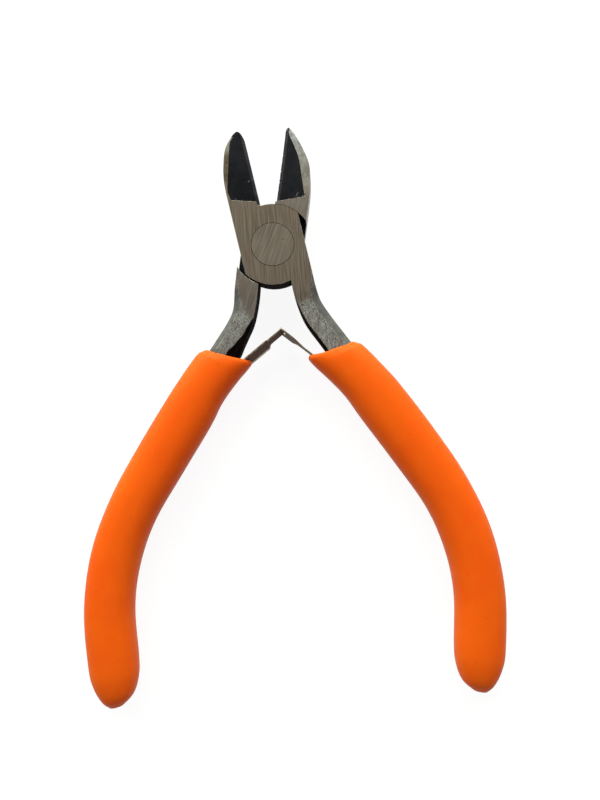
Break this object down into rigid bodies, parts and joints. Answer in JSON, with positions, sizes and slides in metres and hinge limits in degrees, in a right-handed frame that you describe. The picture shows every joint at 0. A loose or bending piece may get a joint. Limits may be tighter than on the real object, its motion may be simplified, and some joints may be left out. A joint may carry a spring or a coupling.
{
  "type": "diagonal cutting pliers",
  "caption": "Small diagonal cutting pliers with a riveted lap joint, ground jaws, a pair of opening leaf springs and dipped vinyl grips.",
  "frame": {"origin": "on the rivet's axis, at the rear face of the joint", "axes": "+Y from the pivot towards the jaw tips along the bisector of the open halves, +X towards the right handle, +Z out of the front plate"},
  "size_m": [0.0826, 0.1121, 0.0084],
  "materials": {
    "forged_steel": "ground flat on the joint and rims, blackened in the jaw hollows, blasted on the necks",
    "rivet_steel": "ground flush",
    "spring_steel": "rolled strip with a bronze-brown heat tint",
    "grip_vinyl": "dipped vinyl with a soft satin gloss"
  },
  "bodies": {
    "front_half": {"front_half": "forged_steel", "grip_right": "grip_vinyl", "right_leaf_tab": "spring_steel", "right_spring_rivet": "rivet_steel"},
    "rear_half": {"rear_half": "forged_steel", "pivot_rivet": "rivet_steel", "grip_left": "grip_vinyl", "left_leaf_tab": "spring_steel", "left_spring_rivet": "rivet_steel"},
    "left_leaf": {"left_leaf": "spring_steel"},
    "right_leaf": {"right_leaf": "spring_steel"}
  },
  "joints": [
    {"name": "jaw_pivot", "type": "hinge", "parent": "front_half", "child": "rear_half", "pos_m": [0, 0, 0], "axis": [0, 0, 1], "range_deg": [0, 21], "stiffness_Nm_per_rad": 1, "springref_deg": -2.86},
    {"name": "left_leaf_flex", "type": "hinge", "parent": "rear_half", "child": "left_leaf", "pos_m": [-0.00854, -0.02384, 0.0033], "axis": [0, 0, 1], "range_deg": [0, 17.5]},
    {"name": "right_leaf_flex", "type": "hinge", "parent": "front_half", "child": "right_leaf", "pos_m": [0.00854, -0.02384, 0.0033], "axis": [0, 0, 1], "range_deg": [-15.5, 0]}
  ],
  "couplings": [
    {"joint": "left_leaf_flex", "follows": "jaw_pivot", "ratio": 0.8333},
    {"joint": "right_leaf_flex", "follows": "jaw_pivot", "ratio": -0.738}
  ]
}
